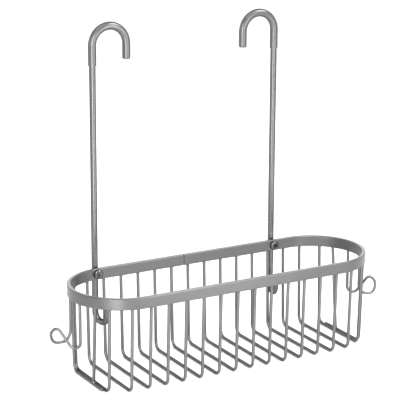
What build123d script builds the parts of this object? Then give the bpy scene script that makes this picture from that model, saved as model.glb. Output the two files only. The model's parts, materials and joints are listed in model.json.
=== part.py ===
from build123d import *
import math
import os

# Hanging wire basket for a shower: a flat band bent to a stadium, U-shaped wires under it,
# an eyelet hook at each end, and two rods that carry it from a pair of pipes or bars.
# Millimetres. X runs along the basket, Y from its front to its back, Z up.
# The origin is under the middle of the whole object, at the height the basket stands on.

# Rim band
rim_length = 312.0
rim_depth = 100.0
band_height = 11.0
band_thickness = 4.0
band_edge_round = 1.0
rim_gap = 1.6  # where the two ends of the bent band meet
rim_gap_x = -14.5

# Basket wires
wire_diameter = 3.0
wire_count = 16
last_wire_inset = 19.5  # from the end of the rim to the first and the last basket wire
wire_corner_radius = 7.0
wire_lean = 2.5  # each leg stands this much further in at the floor than at the rim
basket_height = 92.0

# End frames, which double one leg and the floor of the last basket wire, and the end wires on them
end_frame_reach = 26.0  # past the middle, on the side away from the frame's leg
end_wire_angle = 34.0  # from the end of the rim, round the centre of its curved end
end_wire_foot = 9.0  # from the middle to the end wire's foot
weld_gap = 0.02  # between wires that lie along each other

# Side hooks
side_hook_diameter = 2.8
side_hook_spread = 20.0  # between the two legs
side_hook_roundness = 0.92  # share of the largest bend that each corner has room for

# Hanger rods
rod_diameter = 6.0
rod_gap = 0.3  # between a rod and the back of the rim
left_hooked_wire = 3  # the basket wire that each rod's lower end hooks round
right_hooked_wire = wire_count - 3
hook_radius = 17.5
hook_top = 228.0  # centre of the rod at the top of its hook, above the rim
hook_tip_drop = 13.0
foot_radius = 9.0
foot_depth = 53.0  # centre of the rod at its lowest point, below the top of the rim
foot_tip_rise = 8.0
foot_turn = 76.0  # of the lower hook's plane, away from the length of the basket
foot_clearance = 0.3  # between the lower hook and the basket wire it goes round

# Sleeves on the upper hooks
sleeve_wall = 0.7
sleeve_clearance = 0.04
sleeve_drop = 18.0  # below the start of the bend, on the rod's long side
sleeve_cap = 1.5
sleeve_cap_round = 1.2

# Hanger screws
screw_diameter = 4.0
screw_head_diameter = 9.4
screw_head_height = 2.6
screw_socket_width = 2.5
screw_socket_depth = 1.4
screw_hole_clearance = 0.15
screw_thread_clearance = 0.04
screw_head_gap = 0.05
screw_seat_clearance = 0.3

# Worked-out places
wire_radius = wire_diameter / 2
rod_radius = rod_diameter / 2
sleeve_radius = rod_radius + sleeve_clearance + sleeve_wall
back_reach = rim_depth / 2 + rod_gap + rod_radius + sleeve_radius  # from the middle of the rim
rim_y = (rim_depth / 2 - back_reach) / 2  # the middle of the rim, with the object's box about Y = 0
rim_bottom = basket_height - band_height
bend_centre_x = (rim_length - rim_depth) / 2
mid_radius = (rim_depth - band_thickness) / 2
floor_z = wire_radius
screw_z = rim_bottom + band_height / 2
spring_z = basket_height + hook_top - hook_radius
foot_low_z = basket_height - foot_depth
foot_spring_z = foot_low_z + foot_radius
wire_pitch = (rim_length - 2 * last_wire_inset) / (wire_count - 1)
trim = 1.0  # length that a wire is made too long, before it is cut flat under the rim


def wire_x(number):
    """X of a basket wire, counted from 1 at the left."""
    return (number - (wire_count + 1) / 2) * wire_pitch


def rim_half_chord(x, radius=mid_radius):
    """Half the distance between the front and back of the band at X, at the mid-line or at a face."""
    past_bend = max(abs(x) - bend_centre_x, 0)
    return math.sqrt(radius**2 - past_bend**2)


# Each rod stands to the side of a basket wire, so that its lower hook passes just beside that wire.
foot_angle = math.radians(foot_turn)
lean_at_foot = wire_lean * (rim_bottom - foot_low_z) / (rim_bottom - floor_z)
rod_behind_wire = band_thickness / 2 + rod_gap + rod_radius + lean_at_foot
rod_beside_wire = rod_radius + wire_radius + foot_clearance
rod_offset = (rod_beside_wire + rod_behind_wire * math.cos(foot_angle)) / math.sin(foot_angle)
rod_x = {"left": wire_x(left_hooked_wire) - rod_offset, "right": wire_x(right_hooked_wire) + rod_offset}
back_face_y = {side: rim_y + rim_half_chord(x, rim_depth / 2) for side, x in rod_x.items()}
rod_y = {side: face + rod_gap + rod_radius for side, face in back_face_y.items()}
inward = {"left": 1, "right": -1}


def save(part, name):
    part.label = name
    export_step(part, f"parts/{name}.step")


def make_rim_band():
    with BuildPart() as band:
        with BuildSketch(Plane.XY.offset(rim_bottom)):
            with Locations((0, rim_y)):
                SlotOverall(rim_length, rim_depth)
                SlotOverall(
                    rim_length - 2 * band_thickness, rim_depth - 2 * band_thickness, mode=Mode.SUBTRACT
                )
        extrude(amount=band_height)
        edges = band.faces().filter_by(Axis.Z).edges()
        fillet(edges, band_edge_round)
        with Locations((rim_gap_x, rim_y + mid_radius, screw_z)):
            Box(rim_gap, 2 * band_thickness, 2 * band_height, mode=Mode.SUBTRACT)
        for side, x in rod_x.items():
            seat = Plane(
                origin=(x, back_face_y[side] - band_thickness, screw_z), x_dir=(1, 0, 0), z_dir=(0, -1, 0)
            )
            with BuildSketch(seat):
                Circle(screw_diameter / 2 + screw_hole_clearance)
            extrude(amount=2 * band_thickness, both=True, mode=Mode.SUBTRACT)
            # The seat is cut flat, because the band may have begun to bend under the screw head.
            with BuildSketch(seat):
                Circle(screw_head_diameter / 2 + screw_seat_clearance)
            extrude(amount=band_thickness, mode=Mode.SUBTRACT)
    return band.part


def wire_along(points, radii, diameter):
    """A round wire along straight runs joined by tangent bends."""
    with BuildPart() as wire:
        with BuildLine() as path:
            FilletPolyline(*points, radius=radii)
        with BuildSketch(Plane(origin=path.line @ 0, z_dir=path.line % 0)):
            Circle(diameter / 2)
        sweep()
    return wire.part


def cut_flat(wire, top, bottom=None):
    """Cuts a wire's ends level, where it is welded under the rim or on top of another wire."""
    with BuildPart() as cut:
        add(wire)
        split(bisect_by=Plane.XY.offset(top), keep=Keep.BOTTOM)
        if bottom is not None:
            split(bisect_by=Plane.XY.offset(bottom), keep=Keep.TOP)
    return cut.part


def make_basket_wire(number):
    x = wire_x(number)
    top = rim_half_chord(x)
    floor = top - wire_lean
    slope = wire_lean / (rim_bottom - floor_z)
    high = rim_bottom + trim
    points = [
        (x, rim_y - top - slope * trim, high),
        (x, rim_y - floor, floor_z),
        (x, rim_y + floor, floor_z),
        (x, rim_y + top + slope * trim, high),
    ]
    return cut_flat(wire_along(points, wire_corner_radius, wire_diameter), rim_bottom)


end_frame_x = wire_x(wire_count) + wire_diameter + weld_gap


def make_end_frame(side):
    """side is -1 at the left end, with the leg behind, and 1 at the right, with the leg in front."""
    top = rim_half_chord(end_frame_x)
    slope = wire_lean / (rim_bottom - floor_z)
    points = [
        (side * end_frame_x, rim_y - side * (top + slope * trim), rim_bottom + trim),
        (side * end_frame_x, rim_y - side * (top - wire_lean), floor_z),
        (side * end_frame_x, rim_y + side * end_frame_reach, floor_z),
    ]
    return cut_flat(wire_along(points, wire_corner_radius, wire_diameter), rim_bottom)


def make_end_wire(side):
    """A straight wire from the rim down to the floor of the end frame, across from the frame's leg."""
    angle = math.radians(end_wire_angle)
    top = Vector(bend_centre_x + mid_radius * math.cos(angle), mid_radius * math.sin(angle), rim_bottom)
    foot = Vector(end_frame_x, end_wire_foot, 2 * wire_radius + weld_gap)
    spare = (top - foot).normalized() * wire_diameter
    start, finish = [Vector(side * end.X, rim_y + side * end.Y, end.Z) for end in (foot - spare, top + spare)]
    with BuildPart() as wire:
        with BuildSketch(Plane(origin=start, z_dir=finish - start)):
            Circle(wire_radius)
        extrude(amount=(finish - start).length)
    return cut_flat(wire.part, top.Z, foot.Z)


# The side hook's corners: out from the rim, along the rim, and up from the rim's top.
# One leg comes down, turns up and out into an eyelet, and returns under itself to the other leg.
side_hook_corners = [
    (0.0, 10.0, -65.5),
    (16.0, -4.7, -34.7),
    (21.0, -9.6, -40.8),
    (17.6, -11.1, -52.6),
    (5.5, -7.5, -50.9),
    (0.0, -10.0, -44.0),
]


def largest_bends(points, share):
    """For each corner, a share of the largest bend that half of its shorter run allows."""
    radii = []
    for before, corner, after in zip(points, points[1:], points[2:]):
        back = Vector(*before) - Vector(*corner)
        ahead = Vector(*after) - Vector(*corner)
        turn = math.radians(180 - back.get_angle(ahead))
        shorter = min(back.length, ahead.length)
        radii.append(share * shorter / 2 / math.tan(turn / 2))
    return radii


def make_side_hook(side):
    """The same hook at both ends, turned half a turn about Z."""
    spread = side_hook_spread / 2
    leg_x = bend_centre_x + math.sqrt(mid_radius**2 - spread**2)
    corners = [(leg_x + out, along, basket_height + up) for out, along, up in side_hook_corners]
    points = [(leg_x, spread, rim_bottom), *corners, (leg_x, -spread, rim_bottom)]
    points = [(side * x, rim_y + side * y, z) for x, y, z in points]
    radii = largest_bends(points, side_hook_roundness)
    return wire_along(points, radii, side_hook_diameter)


def make_hanger_rod(side):
    x, y, toward = rod_x[side], rod_y[side], inward[side]
    foot_x, foot_y = toward * math.cos(foot_angle), -math.sin(foot_angle)
    with BuildPart() as rod:
        with BuildLine() as path:
            Line(
                (x + toward * 2 * hook_radius, y, spring_z - hook_tip_drop),
                (x + toward * 2 * hook_radius, y, spring_z),
            )
            ThreePointArc(
                (x + toward * 2 * hook_radius, y, spring_z),
                (x + toward * hook_radius, y, spring_z + hook_radius),
                (x, y, spring_z),
            )
            Line((x, y, spring_z), (x, y, foot_spring_z))
            ThreePointArc(
                (x, y, foot_spring_z),
                (x + foot_x * foot_radius, y + foot_y * foot_radius, foot_low_z),
                (x + 2 * foot_x * foot_radius, y + 2 * foot_y * foot_radius, foot_spring_z),
            )
            Line(
                (x + 2 * foot_x * foot_radius, y + 2 * foot_y * foot_radius, foot_spring_z),
                (
                    x + 2 * foot_x * foot_radius,
                    y + 2 * foot_y * foot_radius,
                    foot_spring_z + foot_tip_rise,
                ),
            )
        with BuildSketch(Plane(origin=path.line @ 0, z_dir=path.line % 0)):
            Circle(rod_radius)
        sweep()
        hole_plane = Plane(origin=(x, y, screw_z), x_dir=(1, 0, 0), z_dir=(0, -1, 0))
        with BuildSketch(hole_plane):
            Circle(screw_diameter / 2 + screw_thread_clearance)
        extrude(amount=rod_diameter, both=True, mode=Mode.SUBTRACT)
    return rod.part


def make_hook_sleeve(side):
    """A soft tube with a closed end, from the tip of the hook to the top of the rod."""
    x, y, toward = rod_x[side], rod_y[side], inward[side]
    tip_x = x + toward * 2 * hook_radius
    tip_z = spring_z - hook_tip_drop - sleeve_clearance
    with BuildPart() as sleeve:
        with BuildSketch(Plane.XY.offset(tip_z)):
            with Locations((tip_x, y)):
                Circle(sleeve_radius)
        extrude(amount=-sleeve_cap)
        cap_edge = sleeve.faces().sort_by(Axis.Z)[0].edges()
        fillet(cap_edge, sleeve_cap_round)
        with BuildLine() as path:
            Line((tip_x, y, tip_z), (tip_x, y, spring_z))
            ThreePointArc(
                (tip_x, y, spring_z),
                (x + toward * hook_radius, y, spring_z + hook_radius),
                (x, y, spring_z),
            )
            Line((x, y, spring_z), (x, y, spring_z - sleeve_drop))
        with BuildSketch(Plane(origin=path.line @ 0, z_dir=path.line % 0)):
            Circle(sleeve_radius)
            Circle(rod_radius + sleeve_clearance, mode=Mode.SUBTRACT)
        sweep()
    return sleeve.part


def make_hanger_screw(side):
    """A button-head screw through the rim and the rod, with its head inside the basket."""
    head_y = back_face_y[side] - band_thickness - screw_head_gap
    shank_length = rod_y[side] + rod_radius - head_y
    head_plane = Plane(origin=(rod_x[side], head_y, screw_z), x_dir=(1, 0, 0), z_dir=(0, -1, 0))
    with BuildPart() as screw:
        with BuildSketch(head_plane):
            Circle(screw_head_diameter / 2)
        extrude(amount=screw_head_height)
        dome = screw.faces().sort_by(Axis.Y)[0].edges()
        fillet(dome, screw_head_height * 0.75)
        with BuildSketch(head_plane.offset(screw_head_height)):
            RegularPolygon(screw_socket_width / 2, 6, major_radius=False)
        extrude(amount=-screw_socket_depth, mode=Mode.SUBTRACT)
        with BuildSketch(head_plane):
            Circle(screw_diameter / 2)
        extrude(amount=-shank_length)
    return screw.part


os.makedirs("parts", exist_ok=True)

save(make_rim_band(), "rim_band")

for number in range(1, wire_count + 1):
    save(make_basket_wire(number), f"basket_wire_{number:02d}")

for end, side in (("left", -1), ("right", 1)):
    save(make_end_frame(side), f"end_frame_{end}")
    save(make_end_wire(side), f"end_wire_{end}")
    save(make_side_hook(side), f"side_hook_{end}")
    save(make_hanger_rod(end), f"hanger_rod_{end}")
    save(make_hook_sleeve(end), f"hook_sleeve_{end}")
    save(make_hanger_screw(end), f"hanger_screw_{end}")
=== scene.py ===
import json
import math
import random

import bmesh
import bpy
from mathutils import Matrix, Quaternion, Vector


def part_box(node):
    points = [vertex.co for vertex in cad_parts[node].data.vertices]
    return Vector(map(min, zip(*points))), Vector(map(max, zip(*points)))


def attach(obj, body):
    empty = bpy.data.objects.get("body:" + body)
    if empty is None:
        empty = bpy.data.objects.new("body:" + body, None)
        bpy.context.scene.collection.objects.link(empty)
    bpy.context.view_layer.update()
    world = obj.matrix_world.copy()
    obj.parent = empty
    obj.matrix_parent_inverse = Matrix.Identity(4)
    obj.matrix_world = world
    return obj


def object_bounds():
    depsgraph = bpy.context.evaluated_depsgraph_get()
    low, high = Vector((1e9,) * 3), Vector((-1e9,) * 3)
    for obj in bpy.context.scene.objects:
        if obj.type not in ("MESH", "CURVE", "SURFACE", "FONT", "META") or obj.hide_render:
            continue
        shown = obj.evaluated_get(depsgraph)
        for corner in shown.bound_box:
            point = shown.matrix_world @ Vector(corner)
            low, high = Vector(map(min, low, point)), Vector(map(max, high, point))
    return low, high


# A hanging wire basket for a shower, in satin anodised aluminium, in the CAD's own frame.

mm = 0.001  # the scene is in metres

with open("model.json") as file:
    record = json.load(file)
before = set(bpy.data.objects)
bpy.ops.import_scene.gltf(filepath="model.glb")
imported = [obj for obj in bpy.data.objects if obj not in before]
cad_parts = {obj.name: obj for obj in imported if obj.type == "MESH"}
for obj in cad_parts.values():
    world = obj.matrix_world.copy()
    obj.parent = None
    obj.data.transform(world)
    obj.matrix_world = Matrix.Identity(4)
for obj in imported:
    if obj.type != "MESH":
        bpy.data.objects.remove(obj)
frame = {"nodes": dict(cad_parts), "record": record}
cadLow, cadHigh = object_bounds()
nodes = frame["nodes"]
slotOf = {row["node"]: row["material_slot"] for row in frame["record"]["subparts"]}
print("frame:", len(nodes), "nodes")


def linear(hexColour):  # sRGB hex to the linear colour a shader takes
    parts = [int(hexColour[i:i + 2], 16) / 255 for i in (0, 2, 4)]
    return [p / 12.92 if p <= 0.04045 else ((p + 0.055) / 1.055) ** 2.4 for p in parts] + [1.0]


def addNode(tree, kind, inputs=None, **settings):  # one node, with its settings, values and links
    node = tree.nodes.new(kind)
    for name, value in settings.items():
        setattr(node, name, value)
    for socket, value in (inputs or {}).items():
        if isinstance(value, bpy.types.NodeSocket):
            tree.links.new(value, node.inputs[socket])
        else:
            node.inputs[socket].default_value = value
    return node


def newMaterial(name):
    material = bpy.data.materials.new(name)
    material.use_nodes = True
    material.node_tree.nodes.clear()
    return material, material.node_tree


def addNoise(tree, place, size, detail):  # noise whose patches are about this size
    noise = addNode(tree, "ShaderNodeTexNoise", {"Vector": place, "Scale": 1 / size, "Detail": detail})
    return noise.outputs["Fac"]


def addColour(tree, share, finish):  # between the finish's dark and light by a share from 0 to 1
    mix = addNode(tree, "ShaderNodeMix", {
        "Factor": share, 6: linear(finish["dark"]), 7: linear(finish["light"])}, data_type="RGBA")
    return mix.outputs[2]


# Anodised aluminium, blasted before the dip: an even grey satin, with a soft wide highlight
# and a fine grain that only shows up close.
bandFinish = {
    "name": "anodisedSatinBand",
    "light": "6D6D6D",
    "dark": "656565",
    "edgeOn": "FFFFFF",  # a flat face shows no darkening
    "roughness": (0.30, 0.38),
    "cloud": 22 * mm,  # patches where the dip took a little more or less
    "grain": 0.6 * mm,  # real blasting is about 0.15 mm, drawn coarser so that it shows
    "grainDepth": 0.010 * mm,
    "brush": (60 * mm, 60 * mm, 0.5 * mm),  # die lines run along the bar, spaced up its height
    "brushDepth": 0.008 * mm,
}
wireFinish = {
    "name": "anodisedSatinWire",
    "light": "747474",
    "dark": "6C6C6C",
    "edgeOn": "787878",  # the dyed oxide looks darker where a round wire turns away
    "roughness": (0.30, 0.36),
    "cloud": 16 * mm,
    "grain": 0.5 * mm,
    "grainDepth": 0.010 * mm,
}
rodFinish = {
    "name": "anodisedSatinRod",
    "light": "707070",
    "dark": "696969",
    "edgeOn": "303030",
    "roughness": (0.24, 0.30),
    "cloud": 30 * mm,
    "grain": 0.5 * mm,
    "grainDepth": 0.002 * mm,
    "brush": (0.4 * mm, 0.4 * mm, 80 * mm),  # drawing lines run down the rod
    "brushDepth": 0.0015 * mm,
}


def anodised(finish):
    material, tree = newMaterial(finish["name"])
    place = addNode(tree, "ShaderNodeTexCoord").outputs["Object"]
    cloud = addNoise(tree, place, finish["cloud"], 2.0)
    grain = addNoise(tree, place, finish["grain"], 3.0)
    rough = addNode(tree, "ShaderNodeMapRange", {
        "Value": cloud, "From Min": 0.3, "From Max": 0.7,
        "To Min": finish["roughness"][0], "To Max": finish["roughness"][1]})
    colour = addColour(tree, cloud, finish)
    bump = addNode(tree, "ShaderNodeBump", {
        "Height": grain, "Strength": 1.0, "Distance": finish["grainDepth"]})
    if "brush" in finish:
        along = addNode(tree, "ShaderNodeMapping", {
            "Vector": place, "Scale": [1 / size for size in finish["brush"]]})
        lines = addNode(tree, "ShaderNodeTexNoise", {"Vector": along.outputs[0], "Scale": 1.0, "Detail": 2.0})
        bump = addNode(tree, "ShaderNodeBump", {
            "Height": lines.outputs["Fac"], "Normal": bump.outputs[0],
            "Strength": 1.0, "Distance": finish["brushDepth"]})
    shader = addNode(tree, "ShaderNodeBsdfPrincipled", {
        "Base Color": colour, "Metallic": 1.0, "Specular Tint": linear(finish["edgeOn"]),
        "Roughness": rough.outputs[0], "Normal": bump.outputs[0]})
    addNode(tree, "ShaderNodeOutputMaterial", {"Surface": shader.outputs[0]})
    return material


# Dipped vinyl with a metal pigment: the grey of the rod, but smoother and a little wetter.
sleeveFinish = {
    "name": "dippedVinylSleeve",
    "light": "6C6C6C",
    "dark": "666666",
    "edgeOn": "303030",
    "roughness": 0.30,
    "metallic": 0.9,
    "coat": 0.12,
    "coatRoughness": 0.2,
    "cloud": 9 * mm,
    "ripple": 3.5 * mm,  # slow waves where the dip set
    "rippleDepth": 0.015 * mm,
}


def dippedVinyl(finish):
    material, tree = newMaterial(finish["name"])
    place = addNode(tree, "ShaderNodeTexCoord").outputs["Object"]
    cloud = addNoise(tree, place, finish["cloud"], 2.0)
    ripple = addNoise(tree, place, finish["ripple"], 1.0)
    colour = addColour(tree, cloud, finish)
    bump = addNode(tree, "ShaderNodeBump", {
        "Height": ripple, "Strength": 1.0, "Distance": finish["rippleDepth"]})
    shader = addNode(tree, "ShaderNodeBsdfPrincipled", {
        "Base Color": colour, "Metallic": finish["metallic"], "Roughness": finish["roughness"],
        "Specular Tint": linear(finish["edgeOn"]), "IOR": 1.5, "Coat Weight": finish["coat"],
        "Coat Roughness": finish["coatRoughness"], "Normal": bump.outputs[0]})
    addNode(tree, "ShaderNodeOutputMaterial", {"Surface": shader.outputs[0]})
    return material


# Chrome-plated steel: near-black where it mirrors the dark, white where it mirrors the light.
screwFinish = {
    "name": "chromedScrew",
    "light": "6A6A6A",
    "dark": "5C5C5C",
    "edgeOn": "080808",
    "roughness": (0.05, 0.11),
    "smear": 1.2 * mm,  # handling marks
}


def chromed(finish):
    material, tree = newMaterial(finish["name"])
    place = addNode(tree, "ShaderNodeTexCoord").outputs["Object"]
    smear = addNoise(tree, place, finish["smear"], 3.0)
    rough = addNode(tree, "ShaderNodeMapRange", {
        "Value": smear, "To Min": finish["roughness"][0], "To Max": finish["roughness"][1]})
    colour = addColour(tree, smear, finish)
    shader = addNode(tree, "ShaderNodeBsdfPrincipled", {
        "Base Color": colour, "Metallic": 1.0, "Specular Tint": linear(finish["edgeOn"]),
        "Roughness": rough.outputs[0]})
    addNode(tree, "ShaderNodeOutputMaterial", {"Surface": shader.outputs[0]})
    return material


finishes = {
    "band": anodised(bandFinish),
    "wire": anodised(wireFinish),
    "rod": anodised(rodFinish),
    "sleeve": dippedVinyl(sleeveFinish),
    "screw": chromed(screwFinish),
}
for name, node in nodes.items():
    node.data.materials.clear()
    node.data.materials.append(finishes[slotOf[name]])
print("finishes:", len(finishes))


# Weld beads: where each wire meets the underside of the rim, a fillet a little longer along the
# band than across it, drawn down on to the wire.
beads = {
    "rings": (  # height over the seam, then how far the bead stands out across and along the band
        (0.45, 0.30, 0.85), (0.20, 0.30, 0.75), (0.00, 0.28, 0.62), (-0.25, 0.20, 0.42),
        (-0.55, 0.10, 0.20), (-0.85, 0.03, 0.06), (-1.10, -0.04, -0.04)),
    "sides": 24,
    "unevenness": 0.12,
    "tack": (0.75, 2.4, 0.50),  # half sizes of a short run in the groove between doubled wires
    "cap": (1.52, 1.20, 1.48),  # half sizes of the rounded end of a doubled floor wire
    "tackHeight": 2.45,
    "tackShares": (0.35, 0.75),  # along the floor run, from its free end
    "capHeight": 1.5,
    "footShare": 0.98,  # the bead at an end wire's foot starts a little inside the wire
    "lobes": 3,
    "seed": 11,
}
bandLow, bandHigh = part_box("rim_band")
bandMiddle = (bandLow + bandHigh) / 2
bendX = (bandHigh.x - bandLow.x - (bandHigh.y - bandLow.y)) / 2  # where the band's curved ends start


def endsAt(node, height):  # the middles of a wire's cut ends at one height, found on the wire itself
    places = [corner.co for corner in node.data.vertices]
    level = sorted((p for p in places if abs(p.z - height) < 0.02 * mm), key=lambda p: p.y)
    groups = []
    for place in level:
        if groups and place.y - groups[-1][-1].y < 2 * mm:
            groups[-1].append(place)
        else:
            groups.append([place])
    ends = []
    for group in groups:
        low = Vector([min(p[i] for p in group) for i in range(3)])
        high = Vector([max(p[i] for p in group) for i in range(3)])
        ends.append(((low + high) / 2, (high.y - low.y) / 2))
    return ends


def addBead(mesh, middle, radius, along, flip=1):
    across = Vector((-along.y, along.x, 0))
    swell = 1 + beads["unevenness"] * (random.random() * 2 - 1)
    loops = []
    for height, wide, long in beads["rings"]:
        loop = []
        for k in range(beads["sides"]):
            turn = 2 * math.pi * k / beads["sides"]
            wave = 1 + 0.5 * beads["unevenness"] * math.sin(beads["lobes"] * turn + swell * 40)
            point = middle + Vector((0, 0, height * mm * flip))
            point += across * math.cos(turn) * (radius + wide * mm)
            point += along * math.sin(turn) * (radius + long * mm * (swell * wave if long > 0 else 1))
            loop.append(mesh.verts.new(point))
        loops.append(loop)
    for upper, lower in zip(loops, loops[1:]):
        for k in range(beads["sides"]):
            after = (k + 1) % beads["sides"]
            mesh.faces.new((upper[k], upper[after], lower[after], lower[k]))
    mesh.faces.new(loops[0])
    mesh.faces.new(loops[-1][::-1])


def addBlob(mesh, middle, halves):  # a small rounded lump of weld
    size = [half * mm * (1 + beads["unevenness"] * random.random()) for half in halves]
    made = bmesh.ops.create_uvsphere(mesh, u_segments=20, v_segments=12, radius=1)
    bmesh.ops.scale(mesh, vec=size, verts=made["verts"])
    bmesh.ops.translate(mesh, vec=middle, verts=made["verts"])


def finishWelds(mesh, name):
    bmesh.ops.recalc_face_normals(mesh, faces=mesh.faces)
    data = bpy.data.meshes.new(name)
    mesh.to_mesh(data)
    mesh.free()
    data.shade_smooth()
    piece = bpy.data.objects.new(name, data)
    bpy.context.scene.collection.objects.link(piece)
    data.materials.append(finishes["wire"])
    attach(piece, "basket")


def makeRimWelds():
    random.seed(beads["seed"])
    mesh = bmesh.new()
    count = 0
    for name, node in nodes.items():
        if slotOf[name] != "wire":
            continue
        for middle, radius in endsAt(node, bandLow.z):
            outward = middle - bandMiddle
            outward.x -= max(-bendX, min(bendX, outward.x))
            outward.z = 0
            outward.normalize()
            along = Vector((-outward.y, outward.x, 0))
            addBead(mesh, middle, radius, along)
            count += 1
    finishWelds(mesh, "rim_welds")
    return count


def makeFloorWelds():
    mesh = bmesh.new()
    count = 0
    for end, side in (("left", -1), ("right", 1)):
        low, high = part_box("end_frame_" + end)
        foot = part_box("end_wire_" + end)[0].z
        for middle, radius in endsAt(nodes["end_wire_" + end], foot):
            addBead(mesh, middle, radius * beads["footShare"], Vector((0, 1, 0)), -1)
            count += 1
        length = high.y - low.y
        free = high.y if side > 0 else low.y  # the frame's floor run ends on the side away from its leg
        addBlob(mesh, ((low.x + high.x) / 2, free, low.z + beads["capHeight"] * mm), beads["cap"])
        groove = side * min(abs(low.x), abs(high.x))
        for share in beads["tackShares"]:
            seam = (groove, free - side * share * length, low.z + beads["tackHeight"] * mm)
            addBlob(mesh, seam, beads["tack"])
        count += 1 + len(beads["tackShares"])
    finishWelds(mesh, "floor_welds")
    return count


print("weld beads:", makeRimWelds(), "under the rim,", makeFloorWelds(), "on the floor")


# The room: a pale floor, a sky that is white near the floor and dim above, and soft lights.
room = {
    "floorSize": 16.0,
    "floorColour": "F4F4F4",
    "floorDrop": 0.05 * mm,  # so that the floor and the wires' undersides never share a plane
    "skyColour": "FFFFFF",
    "skyNearFloor": 1.7,
    "skyAbove": 0.65,
    "skyFade": (0.30, 0.65),  # heights, as the sine of the angle above the floor
}


def makeFloor():
    mesh = bmesh.new()
    bmesh.ops.create_grid(mesh, x_segments=8, y_segments=8, size=room["floorSize"] / 2)
    data = bpy.data.meshes.new("floor")
    mesh.to_mesh(data)
    mesh.free()
    floor = bpy.data.objects.new("floor", data)
    floor.location.z = cadLow.z - room["floorDrop"]
    bpy.context.scene.collection.objects.link(floor)
    material, tree = newMaterial("paleFloor")
    place = addNode(tree, "ShaderNodeTexCoord").outputs["Object"]
    cloud = addNode(tree, "ShaderNodeTexNoise", {"Vector": place, "Scale": 3.0})
    rough = addNode(tree, "ShaderNodeMapRange", {"Value": cloud.outputs["Fac"], "To Min": 0.8, "To Max": 0.9})
    shader = addNode(tree, "ShaderNodeBsdfPrincipled", {
        "Base Color": linear(room["floorColour"]), "Roughness": rough.outputs[0], "Specular IOR Level": 0.1})
    addNode(tree, "ShaderNodeOutputMaterial", {"Surface": shader.outputs[0]})
    data.materials.append(material)


def makeSky():
    world = bpy.data.worlds.new("studio")
    bpy.context.scene.world = world
    world.use_nodes = True
    tree = world.node_tree
    tree.nodes.clear()
    direction = addNode(tree, "ShaderNodeTexCoord").outputs["Generated"]
    height = addNode(tree, "ShaderNodeSeparateXYZ", {"Vector": direction}).outputs["Z"]
    strength = addNode(tree, "ShaderNodeMapRange", {
        "Value": height, "From Min": room["skyFade"][0], "From Max": room["skyFade"][1],
        "To Min": room["skyNearFloor"], "To Max": room["skyAbove"]})
    sky = addNode(tree, "ShaderNodeBackground", {
        "Color": linear(room["skyColour"]), "Strength": strength.outputs[0]})
    addNode(tree, "ShaderNodeOutputWorld", {"Surface": sky.outputs[0]})


lights = {
    "overhead": {"kind": "SUN", "at": (-0.6, -0.5, 2.4), "spread": 60, "power": 1.2},
    "topBox": {"kind": "AREA", "at": (0.58, -0.32, 1.09), "size": (0.60, 0.60), "power": 9.0},
    "leftStrip": {"kind": "AREA", "at": (-0.31, -0.29, 0.24), "size": (0.10, 0.46), "power": 1.5},
    "rightStrip": {"kind": "AREA", "at": (0.13, -0.40, 0.24), "size": (0.11, 0.46), "power": 0.9},
    "backPanel": {"kind": "AREA", "at": (0.60, 1.04, 0.46), "size": (1.60, 0.40), "power": 2.5},
}
cameraSet = {
    "azimuth": -29.9,
    "elevation": 15.7,
    "roll": 0.35,
    "distance": 1.625,
    "lens": 148.3,
    "aim": (-3.5 * mm, 15.4 * mm, 144 * mm),
}


def makeLights():
    target = (cadLow + cadHigh) / 2
    for name, light in lights.items():
        data = bpy.data.lights.new(name, light["kind"])
        data.energy = light["power"]
        if light["kind"] == "SUN":
            data.angle = math.radians(light["spread"])
        else:
            data.shape = "RECTANGLE"
            data.size, data.size_y = light["size"]
        lamp = bpy.data.objects.new(name, data)
        lamp.visible_camera = False
        lamp.location = light["at"]
        lamp.rotation_euler = (target - Vector(light["at"])).to_track_quat("-Z", "Y").to_euler()
        bpy.context.scene.collection.objects.link(lamp)


def makeCamera():
    data = bpy.data.cameras.new("camera")
    data.lens = cameraSet["lens"]
    data.sensor_width = 36
    data.clip_end = 50
    camera = bpy.data.objects.new("camera", data)
    turn, tilt = math.radians(cameraSet["azimuth"]), math.radians(cameraSet["elevation"])
    back = Vector((math.sin(turn) * math.cos(tilt), -math.cos(turn) * math.cos(tilt), math.sin(tilt)))
    camera.location = Vector(cameraSet["aim"]) + back * cameraSet["distance"]
    camera.rotation_mode = "QUATERNION"
    facing = (-back).to_track_quat("-Z", "Y")
    camera.rotation_quaternion = facing @ Quaternion((0, 0, 1), math.radians(cameraSet["roll"]))
    bpy.context.scene.collection.objects.link(camera)
    bpy.context.scene.camera = camera


makeFloor()
makeSky()
makeLights()
makeCamera()
bpy.context.scene.view_settings.view_transform = "Standard"
print("room, lights and camera ready")
